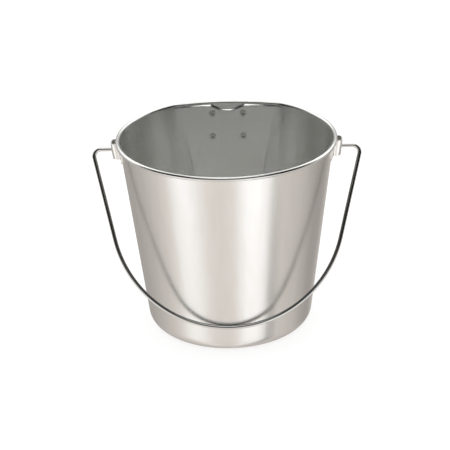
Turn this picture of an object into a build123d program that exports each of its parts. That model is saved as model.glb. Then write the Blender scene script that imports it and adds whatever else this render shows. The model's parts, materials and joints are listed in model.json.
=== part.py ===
from build123d import *
import math
import os

# Flat-sided stainless pail with a wire bail, in millimetres.
# Z is up and is the axis of the round wall. Z = 0 is the floor. The flat side faces +Y.
# The bail hangs down in front, on the -Y side, and its two ears stand at -X and +X.

# Driving dimensions: the pail
RIM_RADIUS = 130.0            # outside of the rolled rim
HEIGHT = 236.0                # floor to the top of the rolled rim
BEAD_DIAMETER = 5.0           # the rolled rim, a hollow curl of the wall's own sheet
SHEET = 0.8                   # wall and bottom
WALL_FOOT_RADIUS = 98.0       # the outer face, run straight down to the floor
BOTTOM_CORNER_RADIUS = 17.0   # outside radius between the wall and the bottom

# Driving dimensions: the flat side
FLAT_HALF_ANGLE = 30.8        # from the middle of the flat side to a crease, in degrees
FLAT_RIM_DEPTH = 7.2          # the rim's middle stands this far inside the round
SHOULDER_DEPTH = 2.4          # the panel steps in by this much more below the rim
SHOULDER_TOP_DROP = 3.0       # below the top of the rim
SHOULDER_HEIGHT = 1.9
FADE_HEIGHT = 70.0            # the panel has run out into the round wall here
RIM_CREASE_RADIUS = 16.0      # between the round and the flat, at the rim
PANEL_CREASE_RADIUS = 30.0    # and below the shoulder, where the flat is deeper
FADED_CREASE_REACH = 26.0     # half the width of what is left of a crease at the fade height
RELIEF_HALF_WIDTH = 20.8      # the half-moon below the rim that is not pressed in
RELIEF_DROP = 10.7            # its lowest point, below the top of the rim

# Driving dimensions: the bail and its ears
WIRE_DIAMETER = 4.8
AXIS_DROP = 15.0              # the bail's axis, below the top of the rim
BAIL_DROP = 211.3             # the bail's axis to the lowest point of the wire's centre line
BAIL_HALF_WIDTH = 158.0       # an arm's centre line, run straight up to the axis
ARM_LEAN = 13.7               # each arm leans in by this angle, in degrees
ELBOW_RADIUS = 8.0            # centre line, from the ear into the arm
REST_GAP = 0.35               # the hanging wire and the wall
PIVOT_GAP = 0.1               # all round the wire, in the ear's hole
WIRE_HEAD_RADIUS = 3.7        # the upset head that keeps the wire in its ear
WIRE_HEAD_LENGTH = 2.2
WIRE_HEAD_GAP = 0.5           # the head and the inner face of the ear
EAR_SHEET = 1.5
EAR_HEIGHT = 19.0
EAR_STANDOFF = 10.6           # the wall to the outer face of the ear, at the bail's axis
EAR_BRIDGE_HALF_WIDTH = 9.5
EAR_CORNER_RADIUS = 5.5
EAR_ROOT_RADIUS = 2.0
EAR_HALF_SPAN = 28.0          # the middle of the bridge to the end of a wing
EAR_WING_CORNER_RADIUS = 5.0

# Driving dimensions: the hanging hooks on the flat side and their rivets
RIVET_HALF_SPACING = 19.2     # each column of rivets, from the middle of the flat side
UPPER_RIVET_DROP = 14.7       # below the top of the rim
RIVET_PITCH = 29.5            # between the two rivets of a hook
RIVET_SHANK_RADIUS = 2.4
RIVET_HEAD_RADIUS = 4.0
RIVET_HEAD_HEIGHT = 1.3
RIVET_DIMPLE_RADIUS = 1.5
RIVET_SEAT_GAP = 0.08         # under the inner head, because the sheet is curved there
STRAP_THICKNESS = 2.0
STRAP_WIDTH = 13.0
STRAP_FOOT_REACH = 9.0        # the strap below its lower rivet
STRAP_CORNER_RADIUS = 4.0
HOOK_START_REACH = 4.1        # the strap turns outwards this far above its upper rivet
HOOK_BEND_RADIUS = 4.0        # centre line
HOOK_FLAT_LENGTH = 8.0        # between the two bends at the top
HOOK_LEG_LENGTH = 27.0
HOOK_TIP_ANGLE = 20.0
HOOK_TIP_LENGTH = 7.0
HOOK_TIP_BEND_RADIUS = 6.0

# Worked out from the above
BEAD_RADIUS = BEAD_DIAMETER / 2
BEAD_HEIGHT = HEIGHT - BEAD_RADIUS
WALL_RIM_RADIUS = RIM_RADIUS - BEAD_DIAMETER + SHEET
TAPER = (WALL_RIM_RADIUS - WALL_FOOT_RADIUS) / BEAD_HEIGHT
TAPER_ANGLE = math.degrees(math.atan(TAPER))
SHOULDER_TOP = HEIGHT - SHOULDER_TOP_DROP
SHOULDER_FOOT = SHOULDER_TOP - SHOULDER_HEIGHT
AXIS_HEIGHT = HEIGHT - AXIS_DROP
WIRE_RADIUS = WIRE_DIAMETER / 2


def wall_radius(z):
    """Outer radius of the round wall at height z."""
    return WALL_FOOT_RADIUS + TAPER * z


def polar(radius, degrees):
    """Vector in plan at an angle from +Y, clockwise seen from above."""
    turn = math.radians(degrees)
    return Vector(radius * math.sin(turn), radius * math.cos(turn))


def bearing(vector):
    """The angle of a vector in plan, from +Y, clockwise seen from above."""
    return math.degrees(math.atan2(vector.X, vector.Y))


def plan_arc(z, centre, radius, first, last):
    """Horizontal arc at height z, from one angle to another."""
    points = [centre + polar(radius, angle) for angle in (first, (first + last) / 2, last)]
    return ThreePointArc(*[Vector(point.X, point.Y, z) for point in points])


def flat_outline(z, inset, depth, crease_radius):
    """Outline at height z, moved in by inset: round front, crease, bowed flat side, crease.

    The flat side's middle stands depth inside the round. All four arcs are tangent.
    """
    radius = wall_radius(z)
    chord = polar(radius, FLAT_HALF_ANGLE)
    rise = radius - depth - chord.Y
    flat_radius = (chord.X ** 2 + rise ** 2) / (2 * rise)
    flat_centre = Vector(0, radius - depth - flat_radius)
    to_round = radius - crease_radius
    to_flat = flat_radius - crease_radius
    crease_y = (to_round ** 2 - to_flat ** 2 + flat_centre.Y ** 2) / (2 * flat_centre.Y)
    crease = Vector(math.sqrt(to_round ** 2 - crease_y ** 2), crease_y)
    other_crease = Vector(-crease.X, crease.Y)
    round_end = bearing(crease)
    flat_end = bearing(crease - flat_centre)
    return Wire([
        plan_arc(z, Vector(0, 0), radius - inset, round_end, 360 - round_end),
        plan_arc(z, other_crease, crease_radius - inset, -round_end, -flat_end),
        plan_arc(z, flat_centre, flat_radius - inset, -flat_end, flat_end),
        plan_arc(z, crease, crease_radius - inset, flat_end, round_end),
    ])


def rim_outline(z, inset):
    return flat_outline(z, inset, FLAT_RIM_DEPTH, RIM_CREASE_RADIUS)


def panel_outline(z, inset):
    return flat_outline(z, inset, FLAT_RIM_DEPTH + SHOULDER_DEPTH, PANEL_CREASE_RADIUS)


def faded_outline(z, inset):
    """The same four edges on one circle, where the flat side has run out."""
    radius = wall_radius(z)
    reach = math.degrees(FADED_CREASE_REACH / radius)
    round_end = FLAT_HALF_ANGLE + reach
    flat_end = FLAT_HALF_ANGLE - reach
    ends = (
        (round_end, 360 - round_end),
        (-round_end, -flat_end),
        (-flat_end, flat_end),
        (flat_end, round_end),
    )
    return Wire([plan_arc(z, Vector(0, 0), radius - inset, *pair) for pair in ends])


def bowl(inset):
    """Solid pail body up to the rolled rim: the outside, or the space inside at inset."""
    corner = BOTTOM_CORNER_RADIUS - inset
    lean = math.atan(TAPER)
    turn = math.pi / 2 - lean
    foot = wall_radius(inset) - inset
    reach = corner * math.tan(turn / 2)
    start = Vector(foot - reach, inset)
    end = Vector(foot, inset) + Vector(math.sin(lean), math.cos(lean)) * reach
    centre = start + Vector(0, corner)
    middle = centre + Vector(math.sin(turn / 2), -math.cos(turn / 2)) * corner
    top = Vector(wall_radius(FADE_HEIGHT) - inset, FADE_HEIGHT)
    profile = make_face(
        Line((0, inset), start)
        + ThreePointArc(start, middle, end)
        + Line(end, top)
        + Line(top, (0, FADE_HEIGHT))
        + Line((0, FADE_HEIGHT), (0, inset))
    )
    body = revolve(Plane.XZ * profile, Axis.Z)
    levels = [
        faded_outline(FADE_HEIGHT, inset),
        panel_outline(SHOULDER_FOOT, inset),
        rim_outline(SHOULDER_TOP, inset),
        rim_outline(BEAD_HEIGHT, inset),
    ]
    for low, high in zip(levels, levels[1:]):
        body += Solid.make_loft([low, high], ruled=True)
    relief_rise = RELIEF_DROP - SHOULDER_TOP_DROP
    low = rim_outline(SHOULDER_TOP - 2 * relief_rise, inset)
    unpressed = Solid.make_loft([low, levels[-1]], ruled=True)
    moon_radius = (RELIEF_HALF_WIDTH ** 2 + relief_rise ** 2) / (2 * relief_rise)
    moon_centre = SHOULDER_TOP - relief_rise + moon_radius
    half_moon = Plane.XZ * Pos(0, moon_centre) * Circle(moon_radius - inset)
    half_moon = extrude(half_moon, -RIM_RADIUS)
    return body + (unpressed & half_moon)


def rolled_rim():
    """The curl round the top edge: from the wall over the top and down outside it."""
    inner = BEAD_RADIUS - SHEET
    start, stop = -90, 210
    middle = (start + stop) / 2
    curl = make_face(
        ThreePointArc(*[polar(BEAD_RADIUS, angle) for angle in (start, middle, stop)])
        + Line(polar(BEAD_RADIUS, stop), polar(inner, stop))
        + ThreePointArc(*[polar(inner, angle) for angle in (stop, middle, start)])
        + Line(polar(inner, start), polar(BEAD_RADIUS, start))
    )
    path = rim_outline(BEAD_HEIGHT, SHEET - BEAD_RADIUS)
    forward = path % 0
    plane = Plane(origin=path @ 0, x_dir=forward.cross(Vector(0, 0, -1)), z_dir=forward)
    return sweep(plane * curl, path=path)


def round_wall_solid():
    """The round wall's outside as a solid cone, without the flat side."""
    cone = Cone(WALL_FOOT_RADIUS, WALL_RIM_RADIUS, BEAD_HEIGHT)
    return Pos(0, 0, BEAD_HEIGHT / 2) * cone


def ear_plan(inset):
    """Plan of all that lies inside the ear's outer face, or that face moved in by inset."""
    foot = EAR_SHEET - inset
    round_radius = wall_radius(AXIS_HEIGHT) + foot
    face_x = wall_radius(AXIS_HEIGHT) + EAR_STANDOFF - inset
    half = EAR_BRIDGE_HALF_WIDTH - inset
    bridge_length = 4 * EAR_STANDOFF
    bridge = RectangleRounded(bridge_length, 2 * half, EAR_CORNER_RADIUS - inset)
    bridge = Pos(face_x - bridge_length / 2, 0) * bridge
    plan = Circle(round_radius) + bridge
    meet_x = math.sqrt(round_radius ** 2 - half ** 2)
    roots = [v for v in plan.vertices() if abs(v.X - meet_x) < 0.01 and abs(abs(v.Y) - half) < 0.01]
    return fillet(roots, EAR_ROOT_RADIUS + inset)


def ear():
    """Pressed strap ear at +X: a bridge with two wings that lie on the wall."""
    strip = ear_plan(0) - ear_plan(EAR_SHEET)
    lean = Vector(TAPER, 0, 1).normalized()
    length = EAR_HEIGHT / lean.Z
    start = AXIS_HEIGHT - EAR_HEIGHT / 2
    base = Pos(-TAPER * EAR_HEIGHT / 2, 0, start) * strip
    band_solid = extrude(base, length, dir=lean)
    front = RectangleRounded(2 * EAR_HALF_SPAN, EAR_HEIGHT, EAR_WING_CORNER_RADIUS)
    blank = extrude(Plane.YZ * Pos(0, AXIS_HEIGHT) * front, 2 * RIM_RADIUS)
    hole = Plane.YZ * Pos(0, AXIS_HEIGHT) * Circle(WIRE_RADIUS + PIVOT_GAP)
    bridge_middle = wall_radius(AXIS_HEIGHT) + EAR_STANDOFF / 2
    hole = extrude(Pos(bridge_middle, 0, 0) * hole, EAR_STANDOFF)
    return (band_solid & blank) - round_wall_solid() - hole


def hang_angle():
    """The bail's angle from straight down when its wire lies against the wall."""
    taper = math.radians(TAPER_ANGLE)
    reach = wall_radius(AXIS_HEIGHT) * math.cos(taper) + WIRE_RADIUS + REST_GAP
    return math.degrees(math.asin(reach / BAIL_DROP) - taper)


def bail():
    """One bent wire: head, elbow, leaning arm, round bottom, and the same back up."""
    lean = math.radians(ARM_LEAN)
    across = BAIL_HALF_WIDTH * math.cos(lean)
    centre_drop = (BAIL_DROP - across) / (1 - math.sin(lean))
    bottom_radius = BAIL_DROP - centre_drop
    inner_face = wall_radius(AXIS_HEIGHT) + EAR_STANDOFF - EAR_SHEET
    head_end = inner_face - WIRE_HEAD_GAP
    wire_end = head_end - WIRE_HEAD_LENGTH
    elbow = BAIL_HALF_WIDTH
    half_turn = (math.pi / 2 + lean) / 2
    elbow_reach = ELBOW_RADIUS * math.tan(half_turn)
    arm = Vector(-math.sin(lean), -math.cos(lean))
    elbow_centre = Vector(elbow - elbow_reach, -ELBOW_RADIUS)
    elbow_middle = elbow_centre + Vector(math.sin(half_turn), math.cos(half_turn)) * ELBOW_RADIUS
    arm_start = Vector(elbow, 0) + arm * elbow_reach
    arm_end = Vector(bottom_radius * math.cos(lean), -centre_drop - bottom_radius * math.sin(lean))

    def mirrored(point):
        return Vector(-point.X, point.Y)

    right = [
        Line((wire_end, 0), (elbow - elbow_reach, 0)),
        ThreePointArc((elbow - elbow_reach, 0), elbow_middle, arm_start),
        Line(arm_start, arm_end),
    ]
    left = [
        Line(mirrored(arm_end), mirrored(arm_start)),
        ThreePointArc(mirrored(arm_start), mirrored(elbow_middle), (elbow_reach - elbow, 0)),
        Line((elbow_reach - elbow, 0), (-wire_end, 0)),
    ]
    bottom = ThreePointArc(arm_end, (0, -BAIL_DROP), mirrored(arm_end))
    path = Plane.XZ * Wire([*right, bottom, *left])
    wire = sweep(Plane(origin=path @ 0, z_dir=path % 0) * Circle(WIRE_RADIUS), path=path)
    head = Cylinder(WIRE_HEAD_RADIUS, WIRE_HEAD_LENGTH)
    head = fillet(head.edges().filter_by(GeomType.CIRCLE), WIRE_HEAD_LENGTH / 4)
    for side in (-1, 1):
        middle = side * (wire_end + WIRE_HEAD_LENGTH / 2)
        wire += Pos(middle, 0, 0) * Rot(0, 90, 0) * head
    return Pos(0, 0, AXIS_HEIGHT) * Rot(-hang_angle(), 0, 0) * wire


def panel_point(shell, side, height):
    """Point and outward normal on the outer face of the panel, at a column of rivets."""
    line = Axis((side * RIVET_HALF_SPACING, 0, height), (0, 1, 0))
    hits = shell.find_intersection_points(line)
    return max(hits, key=lambda hit: hit[0].Y)


def rivet_places(shell, side):
    """Frames on the panel at a hook's upper and lower rivet: Y up, Z out of the pail."""
    upper_height = HEIGHT - UPPER_RIVET_DROP
    upper, normal = panel_point(shell, side, upper_height)
    lower, _ = panel_point(shell, side, upper_height - RIVET_PITCH)
    up = (upper - lower).normalized()
    across = up.cross(normal).normalized()
    out = across.cross(up)
    return [Plane(origin=point, x_dir=across, z_dir=out) for point in (upper, lower)]


def hook(upper, lower):
    """Strap hook: it lies on the panel and turns out and down, clear of the rim."""
    seat = STRAP_THICKNESS / 2
    foot = -RIVET_PITCH - STRAP_FOOT_REACH
    top = HOOK_START_REACH + HOOK_BEND_RADIUS
    leg = seat + 2 * HOOK_BEND_RADIUS + HOOK_FLAT_LENGTH
    leg_end = HOOK_START_REACH - HOOK_LEG_LENGTH
    tip = math.radians(HOOK_TIP_ANGLE)

    def on_bend(centre_x, angle):
        turn = math.radians(angle)
        rise = HOOK_BEND_RADIUS * math.sin(turn)
        return Vector(centre_x + HOOK_BEND_RADIUS * math.cos(turn), HOOK_START_REACH + rise)

    def on_tip(angle):
        out = HOOK_TIP_BEND_RADIUS * (1 - math.cos(angle))
        return Vector(leg + out, leg_end - HOOK_TIP_BEND_RADIUS * math.sin(angle))

    first = seat + HOOK_BEND_RADIUS
    second = first + HOOK_FLAT_LENGTH
    tip_end = on_tip(tip) + Vector(math.sin(tip), -math.cos(tip)) * HOOK_TIP_LENGTH
    side_view = Wire([
        Line((seat, foot), (seat, HOOK_START_REACH)),
        ThreePointArc((seat, HOOK_START_REACH), on_bend(first, 135), (first, top)),
        Line((first, top), (second, top)),
        ThreePointArc((second, top), on_bend(second, 45), (leg, HOOK_START_REACH)),
        Line((leg, HOOK_START_REACH), (leg, leg_end)),
        ThreePointArc((leg, leg_end), on_tip(tip / 2), on_tip(tip)),
        Line(on_tip(tip), tip_end),
    ])
    # The side view's X is out of the pail and its Y is up the panel
    view = Plane(origin=upper.origin, x_dir=upper.z_dir, z_dir=-upper.x_dir)
    path = view * side_view
    section = Plane(origin=path @ 0, x_dir=upper.x_dir, z_dir=path % 0)
    strap = sweep(section * Rectangle(STRAP_WIDTH, STRAP_THICKNESS), path=path)
    length = RIVET_PITCH + STRAP_FOOT_REACH + 2 * HOOK_BEND_RADIUS
    blank = RectangleRounded(STRAP_WIDTH, 2 * length, STRAP_CORNER_RADIUS)
    blank = upper * Pos(0, foot + length) * blank
    strap &= extrude(blank, 2 * leg, both=True)
    for place in (upper, lower):
        strap -= extrude(place * Circle(RIVET_SHANK_RADIUS), STRAP_THICKNESS, both=True)
    return strap


def rivet(place):
    """Rivet through the sheet and the strap, with a ringed head inside the pail."""
    inner_seat = -SHEET - RIVET_SEAT_GAP
    grip = STRAP_THICKNESS - inner_seat
    shank = Pos(0, 0, inner_seat + grip / 2) * Cylinder(RIVET_SHANK_RADIUS, grip)
    disc = Cylinder(RIVET_HEAD_RADIUS, RIVET_HEAD_HEIGHT)
    disc = fillet(disc.edges().filter_by(GeomType.CIRCLE), RIVET_HEAD_HEIGHT / 3)
    inner = Pos(0, 0, inner_seat - RIVET_HEAD_HEIGHT / 2) * disc
    dimple_centre = inner_seat - RIVET_HEAD_HEIGHT - RIVET_DIMPLE_RADIUS / 3
    inner -= Pos(0, 0, dimple_centre) * Sphere(RIVET_DIMPLE_RADIUS)
    outer = Pos(0, 0, STRAP_THICKNESS + RIVET_HEAD_HEIGHT / 2) * disc
    return place * (shank + inner + outer)


def main():
    os.makedirs("parts", exist_ok=True)
    outside = bowl(0)
    shell = outside - bowl(SHEET) + rolled_rim()
    right_ear = ear()
    parts = {"bail": bail(), "ear_right": right_ear, "ear_left": mirror(right_ear, about=Plane.YZ)}
    for name, side in (("left", -1), ("right", 1)):
        places = rivet_places(shell, side)
        parts["hook_" + name] = hook(*places) - outside
        for level, place in zip(("upper", "lower"), places):
            shell -= extrude(place * Circle(RIVET_SHANK_RADIUS), 2 * SHEET, both=True)
            parts["rivet_" + level + "_" + name] = rivet(place)
    parts["pail_shell"] = shell
    for name, part in parts.items():
        part.label = name
        export_step(part, os.path.join("parts", name + ".step"))


main()
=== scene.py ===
import functools
import json
import math

import bmesh
import bpy
from mathutils import Matrix, Vector


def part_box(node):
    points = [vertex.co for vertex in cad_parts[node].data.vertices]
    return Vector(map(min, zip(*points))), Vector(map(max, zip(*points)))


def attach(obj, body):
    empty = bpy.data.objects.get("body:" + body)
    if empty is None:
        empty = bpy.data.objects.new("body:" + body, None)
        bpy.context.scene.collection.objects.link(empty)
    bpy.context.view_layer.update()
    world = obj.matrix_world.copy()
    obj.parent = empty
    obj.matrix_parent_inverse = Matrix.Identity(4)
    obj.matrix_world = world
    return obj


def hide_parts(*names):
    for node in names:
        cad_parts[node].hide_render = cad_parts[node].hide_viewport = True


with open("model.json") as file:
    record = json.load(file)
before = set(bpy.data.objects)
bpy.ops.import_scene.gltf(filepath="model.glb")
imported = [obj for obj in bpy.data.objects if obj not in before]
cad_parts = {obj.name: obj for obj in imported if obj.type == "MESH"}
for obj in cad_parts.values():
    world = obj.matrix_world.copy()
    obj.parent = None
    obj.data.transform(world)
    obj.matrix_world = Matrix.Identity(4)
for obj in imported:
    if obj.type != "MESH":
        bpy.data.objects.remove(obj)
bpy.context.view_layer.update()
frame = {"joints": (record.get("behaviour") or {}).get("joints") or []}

MM = 0.001

# Read from the frame: the pail's overall size and its hinge
shell_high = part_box("pail_shell")[1]
RIM_RADIUS = shell_high.x
HEIGHT = shell_high.z
HINGE = Vector(frame["joints"][0]["pos_m"])

# The pail's own dimensions, as designed
BEAD_RADIUS = 2.5 * MM
SHEET = 0.8 * MM
WALL_FOOT_RADIUS = 98 * MM
CORNER_RADIUS = 17 * MM
FLAT_HALF_ANGLE = math.radians(30.8)
FLAT_RIM_DEPTH = 7.2 * MM
SHOULDER_DEPTH = 2.4 * MM
SHOULDER_TOP = HEIGHT - 3 * MM
SHOULDER_HEIGHT = 1.9 * MM
FADE_HEIGHT = 70 * MM
FADE_SOFTNESS = 0.08
RIM_CREASE_RADIUS = 16 * MM
PANEL_CREASE_RADIUS = 30 * MM
FADED_CREASE_REACH = 26 * MM
RELIEF_HALF_WIDTH = 20.8 * MM
RELIEF_RISE = 6.7 * MM

# Worked out from them
BEAD_HEIGHT = HEIGHT - BEAD_RADIUS
TAPER = (RIM_RADIUS - 2 * BEAD_RADIUS + SHEET - WALL_FOOT_RADIUS) / BEAD_HEIGHT
LEAN = math.atan(TAPER)
SHOULDER_FOOT = SHOULDER_TOP - SHOULDER_HEIGHT

# The wall's mesh. Columns are those of the round front, crease, flat side and crease
COLUMNS = (176, 16, 72, 16)
BOTTOM_SHARES = (0.12, 0.3, 0.5, 0.7, 0.85, 0.95)
CORNER_STEPS = 14
LOWER_ROWS = 56
UPPER_ROWS = 32
UPPER_BAND = 12 * MM
CURL_START = -90
CURL_END = 210
OUTER_CURL_STEPS = 30
INNER_CURL_STEPS = 20

# Meshes are smooth but for edges sharper than this
SHARP_EDGE = math.radians(38)


def wall_radius(z):
    return WALL_FOOT_RADIUS + TAPER * z


def polar(radius, turn):
    """Point in plan at an angle from +Y, clockwise seen from above."""
    return Vector((radius * math.sin(turn), radius * math.cos(turn)))


def smoothstep(x):
    x = min(max(x, 0.0), 1.0)
    return x * x * (3 - 2 * x)


# ---------------------------------------------------------------- camera

CAMERA_DISTANCE = 1601.5 * MM
CAMERA_HEIGHT = 853 * MM
CAMERA_ORBIT = math.radians(1.2)
CAMERA_PAN = -0.0026
CAMERA_TILT = 0.4289
CAMERA_ROLL = -0.0256
CAMERA_LENS = 117.04
SENSOR_WIDTH = 36
CLIP_START = 0.05


def make_camera():
    reach = math.cos(CAMERA_TILT)
    ahead = Vector((math.sin(CAMERA_PAN) * reach, math.cos(CAMERA_PAN) * reach, 0))
    forward = ahead - Vector((0, 0, math.sin(CAMERA_TILT)))
    level = forward.cross(Vector((0, 0, 1))).normalized()
    above = level.cross(forward)
    right = level * math.cos(CAMERA_ROLL) + above * math.sin(CAMERA_ROLL)
    up = right.cross(forward)
    turn = Matrix((right, up, -forward)).transposed().to_4x4()
    place = Matrix.Translation((0, -CAMERA_DISTANCE, CAMERA_HEIGHT))
    orbit = Matrix.Rotation(CAMERA_ORBIT, 4, "Z")
    data = bpy.data.cameras.new("camera")
    data.lens = CAMERA_LENS
    data.sensor_width = SENSOR_WIDTH
    data.sensor_fit = "HORIZONTAL"
    data.clip_start = CLIP_START
    camera = bpy.data.objects.new("camera", data)
    bpy.context.scene.collection.objects.link(camera)
    camera.matrix_world = orbit @ place @ turn
    bpy.context.scene.camera = camera


make_camera()

# ---------------------------------------------------------------- outlines of the wall


def flat_arcs(z, depth, crease_radius):
    """Four tangent arcs (centre, radius, first, last) of an outline with a flat side."""
    radius = wall_radius(z)
    chord = polar(radius, FLAT_HALF_ANGLE)
    rise = radius - depth - chord.y
    flat_radius = (chord.x ** 2 + rise ** 2) / (2 * rise)
    flat_centre = Vector((0, radius - depth - flat_radius))
    to_round = radius - crease_radius
    to_flat = flat_radius - crease_radius
    crease_y = (to_round ** 2 - to_flat ** 2 + flat_centre.y ** 2) / (2 * flat_centre.y)
    crease = Vector((math.sqrt(to_round ** 2 - crease_y ** 2), crease_y))
    other = Vector((-crease.x, crease.y))
    round_end = math.atan2(crease.x, crease.y)
    to_crease = crease - flat_centre
    flat_end = math.atan2(to_crease.x, to_crease.y)
    return (
        (Vector((0, 0)), radius, round_end, 2 * math.pi - round_end),
        (other, crease_radius, -round_end, -flat_end),
        (flat_centre, flat_radius, -flat_end, flat_end),
        (crease, crease_radius, flat_end, round_end),
    )


def round_arcs(z):
    """The same four arcs on one circle."""
    radius = wall_radius(z)
    reach = FADED_CREASE_REACH / wall_radius(FADE_HEIGHT)
    round_end = FLAT_HALF_ANGLE + reach
    flat_end = FLAT_HALF_ANGLE - reach
    ends = (
        (round_end, 2 * math.pi - round_end),
        (-round_end, -flat_end),
        (-flat_end, flat_end),
        (flat_end, round_end),
    )
    return tuple((Vector((0, 0)), radius, first, last) for first, last in ends)


def arc_points(arcs, inset):
    points = []
    for (centre, radius, first, last), count in zip(arcs, COLUMNS):
        for i in range(count):
            points.append(centre + polar(radius - inset, first + (last - first) * i / count))
    return points


def rim_points(z, inset):
    return arc_points(flat_arcs(z, FLAT_RIM_DEPTH, RIM_CREASE_RADIUS), inset)


def turned_lerp(low, high, share, radius):
    """Between two plan points, each with its circle's radius, by angle and by share of the circle."""
    turn = math.atan2(low[0].x, low[0].y)
    turn += share * math.remainder(math.atan2(high[0].x, high[0].y) - turn, 2 * math.pi)
    reach = low[0].length / low[1]
    reach += share * (high[0].length / high[1] - reach)
    return polar(reach * radius, turn)


def wall_points(z, inset):
    """The wall's outline at height z: round low down, flattened and pressed in higher up."""
    share = (z - FADE_HEIGHT) / (SHOULDER_FOOT - FADE_HEIGHT)
    share = (share + math.hypot(share, FADE_SOFTNESS)) / 2
    radius = wall_radius(z) - inset
    low_radius = wall_radius(FADE_HEIGHT) - inset
    high_radius = wall_radius(SHOULDER_FOOT) - inset
    rim_radius = wall_radius(BEAD_HEIGHT) - inset
    points = []
    for low, high, out in zip(*guides(inset)):
        pressed = turned_lerp((low, low_radius), (high, high_radius), share, radius)
        unpressed = out * (radius / rim_radius)
        dip = max(0.0, 1 - (unpressed.x / RELIEF_HALF_WIDTH) ** 2) if unpressed.y > 0 else 0.0
        top = SHOULDER_TOP - RELIEF_RISE * dip
        depth = smoothstep((top - z) / SHOULDER_HEIGHT)
        points.append(turned_lerp((unpressed, radius), (pressed, radius), depth, radius))
    return points


@functools.cache
def guides(inset):
    """Outlines that the wall runs between: where the flat side has faded out, panel, rim."""
    depth = FLAT_RIM_DEPTH + SHOULDER_DEPTH
    return (
        arc_points(round_arcs(FADE_HEIGHT), inset),
        arc_points(flat_arcs(SHOULDER_FOOT, depth, PANEL_CREASE_RADIUS), inset),
        rim_points(BEAD_HEIGHT, inset),
    )


def at_height(points, z):
    return [Vector((p.x, p.y, z)) for p in points]


# ---------------------------------------------------------------- mesh helpers


def mesh_object(name, vertices, faces, body, slot, replaced):
    mesh = bpy.data.meshes.new(name)
    mesh.from_pydata(vertices, [], faces)
    mesh.validate()
    solid = bmesh.new()
    solid.from_mesh(mesh)
    bmesh.ops.recalc_face_normals(solid, faces=solid.faces)
    solid.to_mesh(mesh)
    solid.free()
    mesh.shade_smooth()
    mesh.set_sharp_from_angle(angle=SHARP_EDGE)
    piece = bpy.data.objects.new(name, mesh)
    bpy.context.scene.collection.objects.link(piece)
    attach(piece, body)
    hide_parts(replaced)
    return piece


def skin(rings):
    """Vertices and faces through closed rings of points. A ring of one point is a pole."""
    vertices, faces, starts = [], [], []
    for ring in rings:
        starts.append(len(vertices))
        vertices.extend(ring)
    for i in range(len(rings) - 1):
        a, b = starts[i], starts[i + 1]
        count_a, count_b = len(rings[i]), len(rings[i + 1])
        for j in range(max(count_a, count_b)):
            k = (j + 1) % max(count_a, count_b)
            if count_a == 1:
                faces.append((a, b + k, b + j))
            elif count_b == 1:
                faces.append((a + j, a + k, b))
            else:
                faces.append((a + j, a + k, b + k, b + j))
    return vertices, faces


# ---------------------------------------------------------------- the shell


def bottom_rings(inset):
    """Rings from the pole of the bottom out to the top of its corner."""
    corner = CORNER_RADIUS - inset
    turn = math.pi / 2 - LEAN
    foot = wall_radius(inset) - inset
    flat = foot - corner * math.tan(turn / 2)
    directions = [p.normalized() for p in arc_points(round_arcs(FADE_HEIGHT), 0)]
    rings = [[Vector((0, 0, inset))]]
    for share in BOTTOM_SHARES:
        rings.append(at_height([d * flat * share for d in directions], inset))
    for i in range(CORNER_STEPS + 1):
        angle = turn * i / CORNER_STEPS
        radius = flat + corner * math.sin(angle)
        z = inset + corner * (1 - math.cos(angle))
        rings.append(at_height([d * radius for d in directions], z))
    return rings


def wall_heights(low):
    """Heights of the wall's rows: close together over the shoulder."""
    middle = SHOULDER_FOOT - UPPER_BAND
    heights = [low + (middle - low) * i / LOWER_ROWS for i in range(1, LOWER_ROWS + 1)]
    heights += [middle + (BEAD_HEIGHT - middle) * i / UPPER_ROWS for i in range(1, UPPER_ROWS)]
    return heights


def curl_rings(radius, first, last, steps):
    """Rings round the rolled rim's section, by angle in degrees from its top towards the outside."""
    rings = []
    for i in range(steps + 1):
        turn = math.radians(first + (last - first) * i / steps)
        inset = SHEET - BEAD_RADIUS - radius * math.sin(turn)
        z = BEAD_HEIGHT + radius * math.cos(turn)
        rings.append(at_height(rim_points(BEAD_HEIGHT, inset), z))
    return rings


def make_shell():
    inner_bottom = bottom_rings(SHEET)
    outer_bottom = bottom_rings(0)
    inner_wall = [at_height(wall_points(z, SHEET), z) for z in wall_heights(inner_bottom[-1][0].z)]
    outer_wall = [at_height(wall_points(z, 0), z) for z in wall_heights(outer_bottom[-1][0].z)]
    rings = inner_bottom + inner_wall
    rings += curl_rings(BEAD_RADIUS, CURL_START, CURL_END, OUTER_CURL_STEPS)
    rings += curl_rings(BEAD_RADIUS - SHEET, CURL_END, CURL_START, INNER_CURL_STEPS)
    rings += outer_wall[::-1] + outer_bottom[::-1]
    vertices, faces = skin(rings)
    return mesh_object("shell", vertices, faces, "pail", "drawn_sheet", "pail_shell")


# ---------------------------------------------------------------- the bail

WIRE_RADIUS = 2.4 * MM
HEAD_RADIUS = 3.7 * MM
HEAD_LENGTH = 2.2 * MM
HEAD_ROUNDING = 0.55 * MM
HEAD_GAP = 0.5 * MM
EAR_SHEET = 1.5 * MM
EAR_STANDOFF = 10.6 * MM
BAIL_DROP = 211.3 * MM
BAIL_HALF_WIDTH = 158 * MM
ARM_LEAN = math.radians(13.7)
ELBOW_RADIUS = 8 * MM
REST_GAP = 0.35 * MM
WIRE_SIDES = 28
NECK_LENGTH = 0.2 * MM
ROUNDING_STEPS = 6
RUN_STEPS = 6
ELBOW_STEPS = 20
ARM_STEPS = 12
BOW_STEPS = 48


def hang_angle():
    """How far the bail swings out of the vertical plane when its wire rests by the wall."""
    reach = wall_radius(HINGE.z) * math.cos(LEAN) + WIRE_RADIUS + REST_GAP
    return math.asin(reach / BAIL_DROP) - LEAN


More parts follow.
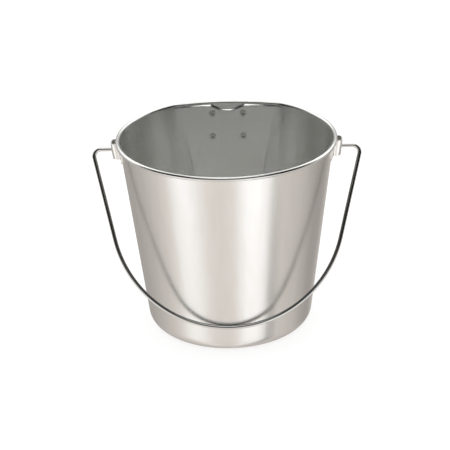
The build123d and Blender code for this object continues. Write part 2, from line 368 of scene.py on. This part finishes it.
def head_stations(wire_end):
    """(distance along the axis, radius) over the upset head, from the wire's very end."""
    stations = [(0.0, 0.0)]
    inner = HEAD_RADIUS - HEAD_ROUNDING
    turns = [math.pi / 2 * i / ROUNDING_STEPS for i in range(ROUNDING_STEPS + 1)]
    for turn in turns:
        stations.append((HEAD_ROUNDING * (1 - math.cos(turn)), inner + HEAD_ROUNDING * math.sin(turn)))
    for turn in turns:
        along = HEAD_LENGTH - HEAD_ROUNDING * (1 - math.sin(turn))
        stations.append((along, inner + HEAD_ROUNDING * math.cos(turn)))
    stations += [(HEAD_LENGTH, WIRE_RADIUS), (HEAD_LENGTH + NECK_LENGTH, WIRE_RADIUS)]
    return [(wire_end + along, radius) for along, radius in stations]


def half_wire():
    """(point, direction angle, radius) from the right-hand head to the bottom of the bail."""
    inner_face = wall_radius(HINGE.z) + EAR_STANDOFF - EAR_SHEET
    wire_end = inner_face - HEAD_GAP - HEAD_LENGTH
    bend = math.pi / 2 + ARM_LEAN
    reach = ELBOW_RADIUS * math.tan(bend / 2)
    elbow_x = BAIL_HALF_WIDTH - reach
    path = [(Vector((x, 0)), 0.0, radius) for x, radius in head_stations(wire_end)]
    last = path[-1][0].x
    for i in range(1, RUN_STEPS):
        x = last + (elbow_x - last) * i / RUN_STEPS
        path.append((Vector((x, 0)), 0.0, WIRE_RADIUS))
    for i in range(ELBOW_STEPS + 1):
        turn = bend * i / ELBOW_STEPS
        x = elbow_x + ELBOW_RADIUS * math.sin(turn)
        y = ELBOW_RADIUS * (math.cos(turn) - 1)
        path.append((Vector((x, y)), -turn, WIRE_RADIUS))
    across = BAIL_HALF_WIDTH * math.cos(ARM_LEAN)
    centre_drop = (BAIL_DROP - across) / (1 - math.sin(ARM_LEAN))
    centre = Vector((0, -centre_drop))
    bow_radius = BAIL_DROP - centre_drop
    start = path[-1][0]
    stop = Vector((math.cos(ARM_LEAN), -math.sin(ARM_LEAN))) * bow_radius + centre
    for i in range(1, ARM_STEPS):
        path.append((start.lerp(stop, i / ARM_STEPS), -bend, WIRE_RADIUS))
    for i in range(BOW_STEPS + 1):
        turn = -ARM_LEAN - (math.pi / 2 - ARM_LEAN) * i / BOW_STEPS
        point = Vector((math.cos(turn), math.sin(turn))) * bow_radius + centre
        path.append((point, turn - math.pi / 2, WIRE_RADIUS))
    return path


def make_bail():
    right = half_wire()
    left = [(Vector((-p.x, p.y)), -turn, radius) for p, turn, radius in right[-2::-1]]
    swing = Matrix.Translation(HINGE) @ Matrix.Rotation(-hang_angle(), 4, "X")
    rings = []
    beside = Vector((0, 1, 0))
    for point, turn, radius in right + left:
        centre = Vector((point.x, 0, point.y))
        across = Vector((-math.sin(turn), 0, math.cos(turn)))
        sides = 1 if radius == 0 else WIRE_SIDES
        ring = []
        for i in range(sides):
            spin = 2 * math.pi * i / sides
            spoke = across * math.cos(spin) + beside * math.sin(spin)
            ring.append(swing @ (centre + spoke * radius))
        rings.append(ring)
    return mesh_object("bail_wire", *skin(rings), "handle", "bail_wire", "bail")


# ---------------------------------------------------------------- the ears

EAR_HEIGHT = 19 * MM
EAR_BRIDGE_HALF_WIDTH = 9.5 * MM
EAR_CORNER_RADIUS = 5.5 * MM
EAR_ROOT_RADIUS = 2 * MM
EAR_HALF_SPAN = 28 * MM
EAR_WING_CORNER_RADIUS = 5 * MM
EAR_EDGE = 0.3 * MM
PIVOT_GAP = 0.1 * MM
LEAST_EDGE = 0.02 * MM
EDGE_STEPS = 4
BRIDGE_STEPS = 4
LEG_STEPS = 3
CORNER_ARC_STEPS = 12
ROOT_ARC_STEPS = 10
WING_ARC_STEPS = 10
CAP_STEPS = 4
CAP_TAPER = 0.9
HOLE_SIDES = 48


def arc_path(centre, radius, first, last, steps):
    """Points and right-hand normals along an arc, by angle from +X, anticlockwise."""
    path = []
    for i in range(1, steps + 1):
        turn = first + (last - first) * i / steps
        spoke = Vector((math.cos(turn), math.sin(turn)))
        normal = spoke if last > first else -spoke
        path.append((centre + spoke * radius, normal))
    return path


def ear_half_path():
    """Middle of the ear's sheet in plan, from the bridge's middle to the end of a wing."""
    half_sheet = EAR_SHEET / 2
    bridge_x = wall_radius(HINGE.z) + EAR_STANDOFF - half_sheet
    leg_y = EAR_BRIDGE_HALF_WIDTH - half_sheet
    corner = EAR_CORNER_RADIUS - half_sheet
    root = EAR_ROOT_RADIUS + half_sheet
    wing_radius = wall_radius(HINGE.z) + half_sheet
    path = []
    for i in range(BRIDGE_STEPS + 1):
        path.append((Vector((bridge_x, (leg_y - corner) * i / BRIDGE_STEPS)), Vector((1, 0))))
    corner_centre = Vector((bridge_x - corner, leg_y - corner))
    path += arc_path(corner_centre, corner, 0, math.pi / 2, CORNER_ARC_STEPS)
    root_y = leg_y + root
    root_centre = Vector((math.sqrt((wing_radius + root) ** 2 - root_y ** 2), root_y))
    meet = math.atan2(root_centre.y, root_centre.x)
    leg_start = path[-1][0].x
    for i in range(1, LEG_STEPS + 1):
        x = leg_start + (root_centre.x - leg_start) * i / LEG_STEPS
        path.append((Vector((x, leg_y)), Vector((0, 1))))
    path += arc_path(root_centre, root, -math.pi / 2, meet - math.pi, ROOT_ARC_STEPS)
    end = math.asin(EAR_HALF_SPAN / wing_radius)
    corner_start = math.asin((EAR_HALF_SPAN - EAR_WING_CORNER_RADIUS) / wing_radius)
    path += arc_path(Vector((0, 0)), wing_radius, meet, corner_start, WING_ARC_STEPS)
    for i in range(1, CORNER_ARC_STEPS + 1):
        share = math.sin(math.pi / 2 * i / CORNER_ARC_STEPS)
        turn = corner_start + (end - corner_start) * share
        spoke = Vector((math.cos(turn), math.sin(turn)))
        path.append((spoke * wing_radius, spoke))
    return path


def section_corners(half_width, half_height, edge):
    """(across, up) round a rectangle with rounded corners."""
    corners = []
    for across, up, start in ((1, 1, 0), (-1, 1, 90), (-1, -1, 180), (1, -1, 270)):
        for i in range(EDGE_STEPS + 1):
            turn = math.radians(start + 90 * i / EDGE_STEPS)
            x = across * (half_width - edge) + edge * math.cos(turn)
            y = up * (half_height - edge) + edge * math.sin(turn)
            corners.append((x, y))
    return corners


def ear_ring(point, normal, inset):
    """Closed section of the ear's sheet at one place along it, with rounded edges."""
    past = abs(point.y) - (EAR_HALF_SPAN - EAR_WING_CORNER_RADIUS)
    drop = 0.0
    if past > 0:
        past = min(past, EAR_WING_CORNER_RADIUS)
        drop = EAR_WING_CORNER_RADIUS - math.sqrt(EAR_WING_CORNER_RADIUS ** 2 - past ** 2)
    half_height = EAR_HEIGHT / 2 - drop - inset
    half_sheet = EAR_SHEET / 2 - inset
    ring = []
    for across, up in section_corners(half_sheet, half_height, max(EAR_EDGE - inset, LEAST_EDGE)):
        place = point + normal * across
        ring.append(Vector((place.x + TAPER * up, place.y, HINGE.z + up)))
    return ring


def make_ear(name, side):
    half = ear_half_path()
    full = [(Vector((p.x, -p.y)), Vector((n.x, -n.y))) for p, n in half[:0:-1]] + half
    rings = [ear_ring(point, normal, 0) for point, normal in full]
    for place in (0, -1):
        point, normal = full[place]
        along = Vector((-normal.y, normal.x)) * (-1 if place == 0 else 1)
        caps = []
        for i in range(1, CAP_STEPS + 1):
            turn = math.pi / 2 * i / CAP_STEPS
            out = along * EAR_EDGE * (math.sin(turn) - 1)
            caps.append(ear_ring(point + out, normal, EAR_EDGE * (1 - math.cos(turn)) * CAP_TAPER))
        middle = sum(caps[-1], Vector()) / len(caps[-1])
        caps.append([middle])
        rings = caps[::-1] + rings[1:] if place == 0 else rings[:-1] + caps
    rings = [[Vector((side * p.x, p.y, p.z)) for p in ring] for ring in rings]
    ear = mesh_object("strap_" + name, *skin(rings), "pail", "ear_steel", name)
    drill(ear, HINGE + Vector((side * (wall_radius(HINGE.z) + EAR_STANDOFF), 0, 0)))
    return ear


def drill(ear, place):
    """Cuts the bail's hole through the ear."""
    bpy.ops.mesh.primitive_cylinder_add(
        vertices=HOLE_SIDES,
        radius=WIRE_RADIUS + PIVOT_GAP,
        depth=2 * EAR_STANDOFF,
        location=place,
        rotation=(0, math.pi / 2, 0),
    )
    cutter = bpy.context.object
    cut = ear.modifiers.new("hole", "BOOLEAN")
    cut.operation = "DIFFERENCE"
    cut.solver = "EXACT"
    cut.object = cutter
    shaped = bpy.data.meshes.new_from_object(ear.evaluated_get(bpy.context.evaluated_depsgraph_get()))
    ear.modifiers.clear()
    ear.data = shaped
    ear.data.shade_smooth()
    ear.data.set_sharp_from_angle(angle=SHARP_EDGE)
    bpy.data.objects.remove(cutter)


# ---------------------------------------------------------------- rivets and hooks

RIVET_HALF_SPACING = 19.2 * MM
UPPER_RIVET_DROP = 14.7 * MM
RIVET_PITCH = 29.5 * MM
SHANK_RADIUS = 2.4 * MM
RIVET_HEAD_RADIUS = 4 * MM
RIVET_HEAD_HEIGHT = 1.3 * MM
RIVET_ROUNDING = 0.43 * MM
DIMPLE_RADIUS = 1.4 * MM
DIMPLE_DEPTH = 0.9 * MM
DIMPLE_STEPS = 8
DIMPLE_LIP = (0.1 * MM, 0.06 * MM)
DIMPLE_RIM = 0.35 * MM
HEAD_FOOT = 0.15 * MM
RIVET_SIDES = 40
SEAT_GAP = 0.08 * MM
STRAP_THICKNESS = 2 * MM
STRAP_WIDTH = 13 * MM
STRAP_FOOT_REACH = 9 * MM
STRAP_CORNER_RADIUS = 4 * MM
STRAP_EDGE = 0.35 * MM
HOOK_START_REACH = 4.1 * MM
HOOK_BEND_RADIUS = 4 * MM
HOOK_FLAT_LENGTH = 8 * MM
HOOK_LEG_LENGTH = 27 * MM
HOOK_TIP_ANGLE = math.radians(18)
HOOK_TIP_LENGTH = 7 * MM
HOOK_TIP_BEND_RADIUS = 6 * MM
FOOT_STEPS = 8
STRAP_STEPS = 8
HOOK_BEND_STEPS = 12
HOOK_LEG_STEPS = 6
TIP_BEND_STEPS = 5
TIP_STEPS = 4
END_CAP_SHARE = 0.9


def panel_point(x, z):
    """Point on the outer face of the flat side."""
    outline = [p for p in wall_points(z, 0) if p.y > 0]
    outline.sort(key=lambda p: p.x)
    for a, b in zip(outline, outline[1:]):
        if a.x <= x <= b.x:
            share = (x - a.x) / (b.x - a.x)
            return Vector((x, a.y + (b.y - a.y) * share, z))


def rivet_frames(side):
    """Frames on the panel at a hook's upper and lower rivet: Y up, Z out of the pail."""
    x = side * RIVET_HALF_SPACING
    height = HEIGHT - UPPER_RIVET_DROP
    upper = panel_point(x, height)
    lower = panel_point(x, height - RIVET_PITCH)
    up = (upper - lower).normalized()
    beside = panel_point(x + MM, height) - panel_point(x - MM, height)
    out = beside.cross(up)
    out *= math.copysign(1, out.y)
    across = up.cross(out).normalized()
    out = across.cross(up)
    turn = Matrix((across, up, out)).transposed().to_4x4()
    return [Matrix.Translation(point) @ turn for point in (upper, lower)]


def head_profile(sign, seat):
    """(radius, height) round a rivet's head, from its rim on the seat to its rounded top edge."""
    inner = RIVET_HEAD_RADIUS - RIVET_ROUNDING
    top = RIVET_HEAD_HEIGHT - RIVET_ROUNDING
    profile = [(RIVET_HEAD_RADIUS - HEAD_FOOT, 0.0), (RIVET_HEAD_RADIUS, HEAD_FOOT)]
    for i in range(ROUNDING_STEPS + 1):
        turn = math.pi / 2 * i / ROUNDING_STEPS
        profile.append((inner + RIVET_ROUNDING * math.cos(turn), top + RIVET_ROUNDING * math.sin(turn)))
    return [(radius, seat + sign * height) for radius, height in profile]


def rivet_profile():
    """(radius, height) from the dimple inside the pail round both heads. The wall's outside is at 0."""
    inner_seat = -SHEET - SEAT_GAP
    face = inner_seat - RIVET_HEAD_HEIGHT
    profile = [(0.0, face + DIMPLE_DEPTH)]
    for i in range(1, DIMPLE_STEPS):
        share = i / DIMPLE_STEPS
        profile.append((DIMPLE_RADIUS * share, face + DIMPLE_DEPTH * (1 - share ** 2)))
    lip_out, lip_drop = DIMPLE_LIP
    profile += [(DIMPLE_RADIUS + lip_out, face + lip_drop), (DIMPLE_RADIUS + DIMPLE_RIM, face)]
    profile += head_profile(-1, inner_seat)[::-1]
    profile += [(SHANK_RADIUS, inner_seat), (SHANK_RADIUS, STRAP_THICKNESS)]
    profile += head_profile(1, STRAP_THICKNESS)
    profile.append((0.0, STRAP_THICKNESS + RIVET_HEAD_HEIGHT))
    return profile


def make_rivet(node, place):
    rings = []
    for radius, height in rivet_profile():
        sides = 1 if radius == 0 else RIVET_SIDES
        ring = []
        for i in range(sides):
            turn = 2 * math.pi * i / sides
            ring.append(place @ Vector((radius * math.cos(turn), radius * math.sin(turn), height)))
        rings.append(ring)
    return mesh_object("headed_" + node, *skin(rings), "pail", "rivet_steel", node)


def hook_path():
    """Points and outward normals of the strap's middle, seen from the side: X out, Y up."""
    seat = STRAP_THICKNESS / 2
    foot = -RIVET_PITCH - STRAP_FOOT_REACH
    leg = seat + 2 * HOOK_BEND_RADIUS + HOOK_FLAT_LENGTH
    first = Vector((seat + HOOK_BEND_RADIUS, HOOK_START_REACH))
    second = first + Vector((HOOK_FLAT_LENGTH, 0))
    back = Vector((-1, 0))
    path = []
    for i in range(FOOT_STEPS + 1):
        turn = math.pi / 2 * i / FOOT_STEPS
        path.append((Vector((seat, foot + STRAP_CORNER_RADIUS * (1 - math.cos(turn)))), back))
    low = path[-1][0].y
    for i in range(1, STRAP_STEPS + 1):
        path.append((Vector((seat, low + (HOOK_START_REACH - low) * i / STRAP_STEPS)), back))
    for centre, start in ((first, 180), (second, 90)):
        for i in range(0 if start == 90 else 1, HOOK_BEND_STEPS + 1):
            turn = math.radians(start - 90 * i / HOOK_BEND_STEPS)
            spoke = Vector((math.cos(turn), math.sin(turn)))
            path.append((centre + spoke * HOOK_BEND_RADIUS, spoke))
    for i in range(1, HOOK_LEG_STEPS + 1):
        y = HOOK_START_REACH - HOOK_LEG_LENGTH * i / HOOK_LEG_STEPS
        path.append((Vector((leg, y)), Vector((1, 0))))
    tip_centre = Vector((leg + HOOK_TIP_BEND_RADIUS, HOOK_START_REACH - HOOK_LEG_LENGTH))
    for i in range(1, TIP_BEND_STEPS + 1):
        turn = HOOK_TIP_ANGLE * i / TIP_BEND_STEPS
        spoke = Vector((-math.cos(turn), -math.sin(turn)))
        path.append((tip_centre + spoke * HOOK_TIP_BEND_RADIUS, -spoke))
    end, normal = path[-1]
    along = Vector((normal.y, -normal.x))
    for i in range(1, TIP_STEPS + 1):
        path.append((end + along * HOOK_TIP_LENGTH * i / TIP_STEPS, normal))
    return path


def strap_ring(point, normal, half_width):
    """Closed section of the strap: X across, Y up, Z out, in the upper rivet's frame."""
    ring = []
    for x, out in section_corners(half_width, STRAP_THICKNESS / 2, STRAP_EDGE):
        place = point + normal * out
        ring.append(Vector((x, place.y, place.x)))
    return ring


def make_hook(node, place):
    rings = []
    path = hook_path()
    foot = path[0][0].y
    for point, normal in path:
        rise = min(max(point.y - foot, 0), STRAP_CORNER_RADIUS)
        inside = STRAP_CORNER_RADIUS - rise if normal.x == -1 else 0.0
        narrowing = STRAP_CORNER_RADIUS - math.sqrt(STRAP_CORNER_RADIUS ** 2 - inside ** 2)
        rings.append(strap_ring(point, normal, STRAP_WIDTH / 2 - narrowing))
    for ring in (rings[0], rings[-1]):
        middle = sum(ring, Vector()) / len(ring)
        cap = [middle + (p - middle) * END_CAP_SHARE for p in ring]
        if ring is rings[0]:
            rings = [[middle], cap] + rings
        else:
            rings = rings + [cap, [middle]]
    rings = [[place @ p for p in ring] for ring in rings]
    return mesh_object("strap_" + node, *skin(rings), "pail", "hook_steel", node)


# ---------------------------------------------------------------- build the pieces

pieces = {"drawn_sheet": [make_shell()], "bail_wire": [make_bail()]}
pieces["ear_steel"] = [make_ear("ear_left", -1), make_ear("ear_right", 1)]
pieces["hook_steel"] = []
pieces["rivet_steel"] = []
for side_name, side in (("left", -1), ("right", 1)):
    frames = rivet_frames(side)
    pieces["hook_steel"].append(make_hook("hook_" + side_name, frames[0]))
    for level, place in zip(("upper", "lower"), frames):
        pieces["rivet_steel"].append(make_rivet("rivet_" + level + "_" + side_name, place))


# ---------------------------------------------------------------- materials

STREAK_DETAIL = 5
STREAK_ROUGHNESS = 0.65
STREAK_RANGE = (0.3, 0.7)
CLOUDS_PER_METRE = 22
CLOUD_DETAIL = 3
CLOUD_RANGE = (0.35, 0.65)
QUARTER_TURN = 0.25


class Nodes:
    """Short calls for building a node tree."""

    def __init__(self, tree):
        self.tree = tree
        tree.nodes.clear()

    def add(self, kind, *inputs, **settings):
        node = self.tree.nodes.new(kind)
        for key, value in settings.items():
            setattr(node, key, value)
        for i, value in enumerate(inputs):
            self.feed(node.inputs[i], value)
        return node

    def feed(self, socket, value):
        if isinstance(value, bpy.types.NodeSocket):
            self.tree.links.new(value, socket)
        elif value is not None:
            socket.default_value = value

    def math(self, operation, *inputs):
        return self.add("ShaderNodeMath", *inputs, operation=operation).outputs[0]

    def ramp(self, value, low, high, to_low=0.0, to_high=1.0, smooth=True):
        ends = (low, high, to_low, to_high)
        kind = "SMOOTHSTEP" if smooth else "LINEAR"
        return self.add("ShaderNodeMapRange", value, *ends, interpolation_type=kind).outputs[0]


def steel(name, colour, warm, roughness, streaks, around, along, drawn=1, anisotropy=0, bump=0):
    """Bright steel with fine streaks and a cloudy tint.

    around and along are the streaks' counts per metre. drawn squeezes the tint's clouds sideways.
    """
    material = bpy.data.materials.new(name)
    material.use_nodes = True
    n = Nodes(material.node_tree)
    place = n.add("ShaderNodeTexCoord").outputs["Object"]
    x, y, z = n.add("ShaderNodeSeparateXYZ", place).outputs
    stretched = n.add("ShaderNodeCombineXYZ")
    n.feed(stretched.inputs[0], n.math("MULTIPLY", x, around))
    n.feed(stretched.inputs[1], n.math("MULTIPLY", y, around))
    n.feed(stretched.inputs[2], n.math("MULTIPLY", z, along))
    fine = n.add("ShaderNodeTexNoise", stretched.outputs[0])
    fine.inputs["Scale"].default_value = 1
    fine.inputs["Detail"].default_value = STREAK_DETAIL
    fine.inputs["Roughness"].default_value = STREAK_ROUGHNESS
    pulled = n.add("ShaderNodeCombineXYZ")
    n.feed(pulled.inputs[0], n.math("MULTIPLY", x, drawn))
    n.feed(pulled.inputs[1], n.math("MULTIPLY", y, drawn))
    n.feed(pulled.inputs[2], z)
    cloud = n.add("ShaderNodeTexNoise", pulled.outputs[0])
    cloud.inputs["Scale"].default_value = CLOUDS_PER_METRE
    cloud.inputs["Detail"].default_value = CLOUD_DETAIL
    shader = n.add("ShaderNodeBsdfPrincipled")
    tint = n.add("ShaderNodeMix", data_type="RGBA")
    n.feed(tint.inputs["Factor"], n.ramp(cloud.outputs["Fac"], *CLOUD_RANGE))
    tint.inputs["A"].default_value = (*colour, 1)
    tint.inputs["B"].default_value = (*warm, 1)
    n.feed(shader.inputs["Base Color"], tint.outputs["Result"])
    shader.inputs["Metallic"].default_value = 1
    if anisotropy:
        # Fine rings round the pail from spinning and polishing draw reflections out up and down
        shader.inputs["Anisotropic"].default_value = anisotropy
        shader.inputs["Anisotropic Rotation"].default_value = QUARTER_TURN
        ring = n.add("ShaderNodeTangent", direction_type="RADIAL", axis="Z")
        n.feed(shader.inputs["Tangent"], ring.outputs[0])
    swing = n.ramp(fine.outputs["Fac"], *STREAK_RANGE, roughness - streaks, roughness + streaks)
    n.feed(shader.inputs["Roughness"], swing)
    if bump:
        relief = n.add("ShaderNodeBump")
        relief.inputs["Strength"].default_value = 1
        relief.inputs["Distance"].default_value = bump
        n.feed(relief.inputs["Height"], fine.outputs["Fac"])
        n.feed(shader.inputs["Normal"], relief.outputs[0])
    out = n.add("ShaderNodeOutputMaterial")
    n.feed(out.inputs["Surface"], shader.outputs[0])
    return material


finishes = {
    "drawn_sheet": steel(
        "drawn_sheet", (0.85, 0.85, 0.843), (0.838, 0.833, 0.82),
        roughness=0.25, streaks=0.015, around=200, along=4, drawn=5, anisotropy=0.65,
    ),
    "ear_steel": steel(
        "ear_steel", (0.86, 0.86, 0.85), (0.84, 0.83, 0.8),
        roughness=0.2, streaks=0.04, around=300, along=1200,
    ),
    "bail_wire": steel(
        "bail_wire", (0.8, 0.8, 0.795), (0.76, 0.76, 0.755),
        roughness=0.08, streaks=0.03, around=400, along=400,
    ),
    "hook_steel": steel(
        "hook_steel", (0.62, 0.62, 0.61), (0.6, 0.59, 0.57),
        roughness=0.3, streaks=0.05, around=1200, along=60, bump=0.004 * MM,
    ),
    "rivet_steel": steel(
        "rivet_steel", (0.66, 0.66, 0.64), (0.62, 0.62, 0.6),
        roughness=0.2, streaks=0.05, around=500, along=500,
    ),
}
for slot, made in pieces.items():
    for piece in made:
        piece.data.materials.clear()
        piece.data.materials.append(finishes[slot])


# ---------------------------------------------------------------- floor and light

BACKGROUND = 1.12
WHITE = (1.0, 1.0, 1.0, 1)
FLOOR_COLOUR = (0.4, 0.4, 0.4, 1)
FLOOR_GLOW = 0.69
FLOOR_REACH = 6.0
FLOOR_DROP = 0.3 * MM
OVERHEAD_SHARE = 0.15
STRIP_LEVEL = 0.1
REAR_LEVEL = 1.5
ZENITH_LEVEL = 1.5
CALM_SHARE = 0.45
CALM_LEVEL = 0.36
NOTCH_DEPTH = 0.8
TABLE_TINT = (1.0, 0.93, 0.87, 1)
BRIGHT_TINT = (1.0, 0.99, 0.975, 1)
ROOM_TINT = (0.985, 0.995, 0.965, 1)
# Levels of light between which the table's tint turns from warm to bright
TINT_RANGE = (0.85, 1.15)
# Heights of a direction (its Z) from where each thing starts to where it is in full
HORIZON = (-0.2, 0.04)
CALM_BELOW = (-0.54, -0.7)
NOTCH_BELOW = (-0.56, -0.65)
OVERHEAD_ABOVE = (0.36, 0.6)
STRIP_ABOVE = (0.55, 0.75)
REAR_ABOVE = (0.3, 0.5)
REAR_BELOW = (0.95, 0.75)
ZENITH_ABOVE = (0.9, 0.98)
# The same for its Y
STRIP_BEFORE = (-0.3, -0.5)
REAR_BEHIND = (0.2, 0.5)
# And for its azimuth in degrees
NOTCH_FROM = (51, 58)
NOTCH_TO = (74, 63)
# What the steel sees below the horizon, by azimuth from -Y towards +X: soft bands of light
TABLE_LEVELS = (
    (-180, 0.60), (-158, 0.41), (-130, 0.46), (-100, 0.60), (-72, 0.86), (-50, 1.3),
    (-34, 1.10), (-10, 0.87), (8, 0.96), (30, 1.44), (44, 1.36), (58, 0.9), (72, 0.70),
    (95, 0.6), (140, 0.37), (160, 0.55), (180, 0.60),
)
# And above it
ROOM_LEVELS = (
    (-180, 0.2), (-140, 0.65), (-110, 0.75), (-86, 0.06), (-26, 0.04), (-10, 0.14), (10, 0.14),
    (26, 0.04), (86, 0.03), (110, 0.65), (140, 0.6), (180, 0.2),
)


def make_floor():
    material = bpy.data.materials.new("floor")
    material.use_nodes = True
    n = Nodes(material.node_tree)
    white = n.add("ShaderNodeBsdfDiffuse", FLOOR_COLOUR)
    glow = n.add("ShaderNodeEmission", WHITE, FLOOR_GLOW)
    both = n.add("ShaderNodeAddShader", white.outputs[0], glow.outputs[0])
    out = n.add("ShaderNodeOutputMaterial")
    n.feed(out.inputs["Surface"], both.outputs[0])
    mesh = bpy.data.meshes.new("floor")
    signs = ((-1, -1), (1, -1), (1, 1), (-1, 1))
    corners = [(x * FLOOR_REACH, y * FLOOR_REACH, -FLOOR_DROP) for x, y in signs]
    mesh.from_pydata(corners, [], [(0, 1, 2, 3)])
    floor = bpy.data.objects.new("floor", mesh)
    bpy.context.scene.collection.objects.link(floor)
    mesh.materials.append(material)
    floor.visible_glossy = False


def by_azimuth(n, azimuth, levels):
    """Smooth curve of light level over the azimuth."""
    node = n.add("ShaderNodeFloatCurve")
    curve = node.mapping.curves[0]
    for i, (turn, level) in enumerate(levels):
        place = ((turn + 180) / 360, level / 2)
        if i in (0, len(levels) - 1):
            curve.points[0 if i == 0 else -1].location = place
        else:
            curve.points.new(*place)
    node.mapping.update()
    n.feed(node.inputs["Value"], n.ramp(azimuth, -180, 180, smooth=False))
    return n.math("MULTIPLY", node.outputs[0], 2.0)


def make_world():
    """Plain white for the camera. The steel sees a studio with soft bands of light instead."""
    world = bpy.data.worlds.new("studio")
    bpy.context.scene.world = world
    world.use_nodes = True
    world.cycles.sampling_method = "NONE"
    n = Nodes(world.node_tree)
    way = n.add("ShaderNodeTexCoord").outputs["Generated"]
    x, y, z = n.add("ShaderNodeSeparateXYZ", way).outputs
    azimuth = n.math("DEGREES", n.math("ARCTAN2", x, n.math("MULTIPLY", y, -1.0)))
    table = by_azimuth(n, azimuth, TABLE_LEVELS)
    calm = n.ramp(z, *CALM_BELOW)
    share = n.ramp(calm, 0.0, 1.0, 1.0, CALM_SHARE, smooth=False)
    table = n.math("ADD", n.math("MULTIPLY", table, share), n.math("MULTIPLY", calm, CALM_LEVEL))
    notch = n.math("MULTIPLY", n.ramp(azimuth, *NOTCH_FROM), n.ramp(azimuth, *NOTCH_TO))
    notch = n.math("MULTIPLY", notch, n.ramp(z, *NOTCH_BELOW, 0.0, NOTCH_DEPTH))
    table = n.math("MULTIPLY", table, n.math("SUBTRACT", 1.0, notch))
    room = by_azimuth(n, azimuth, ROOM_LEVELS)
    room = n.math("MULTIPLY", room, n.ramp(z, *OVERHEAD_ABOVE, 1.0, OVERHEAD_SHARE))
    strip = n.math("MULTIPLY", n.ramp(y, *STRIP_BEFORE), n.ramp(z, *STRIP_ABOVE, 0.0, STRIP_LEVEL))
    rear = n.math("MULTIPLY", n.ramp(z, *REAR_ABOVE), n.ramp(z, *REAR_BELOW))
    rear = n.math("MULTIPLY", rear, n.ramp(y, *REAR_BEHIND, 0.0, REAR_LEVEL))
    zenith = n.ramp(z, *ZENITH_ABOVE, 0.0, ZENITH_LEVEL)
    room = n.math("ADD", n.math("ADD", room, zenith), n.math("ADD", strip, rear))
    rise = n.ramp(z, *HORIZON)
    level = n.add("ShaderNodeMix", data_type="FLOAT")
    n.feed(level.inputs["Factor"], rise)
    n.feed(level.inputs["A"], table)
    n.feed(level.inputs["B"], room)
    warmth = n.add("ShaderNodeMix", data_type="RGBA")
    n.feed(warmth.inputs["Factor"], n.ramp(table, *TINT_RANGE))
    n.feed(warmth.inputs["A"], TABLE_TINT)
    n.feed(warmth.inputs["B"], BRIGHT_TINT)
    tint = n.add("ShaderNodeMix", data_type="RGBA")
    n.feed(tint.inputs["Factor"], rise)
    n.feed(tint.inputs["A"], warmth.outputs["Result"])
    n.feed(tint.inputs["B"], ROOM_TINT)
    seen = n.add("ShaderNodeBackground", tint.outputs["Result"], level.outputs["Result"])
    plain = n.add("ShaderNodeBackground", WHITE, BACKGROUND)
    glossy = n.add("ShaderNodeLightPath").outputs["Is Glossy Ray"]
    mixed = n.add("ShaderNodeMixShader", glossy, plain.outputs[0], seen.outputs[0])
    out = n.add("ShaderNodeOutputWorld")
    n.feed(out.inputs["Surface"], mixed.outputs[0])


make_floor()
make_world()
scene = bpy.context.scene
scene.view_settings.view_transform = "Standard"
# Light reaches the pail's inside by many reflections
scene.cycles.max_bounces = 16
scene.cycles.glossy_bounces = 12
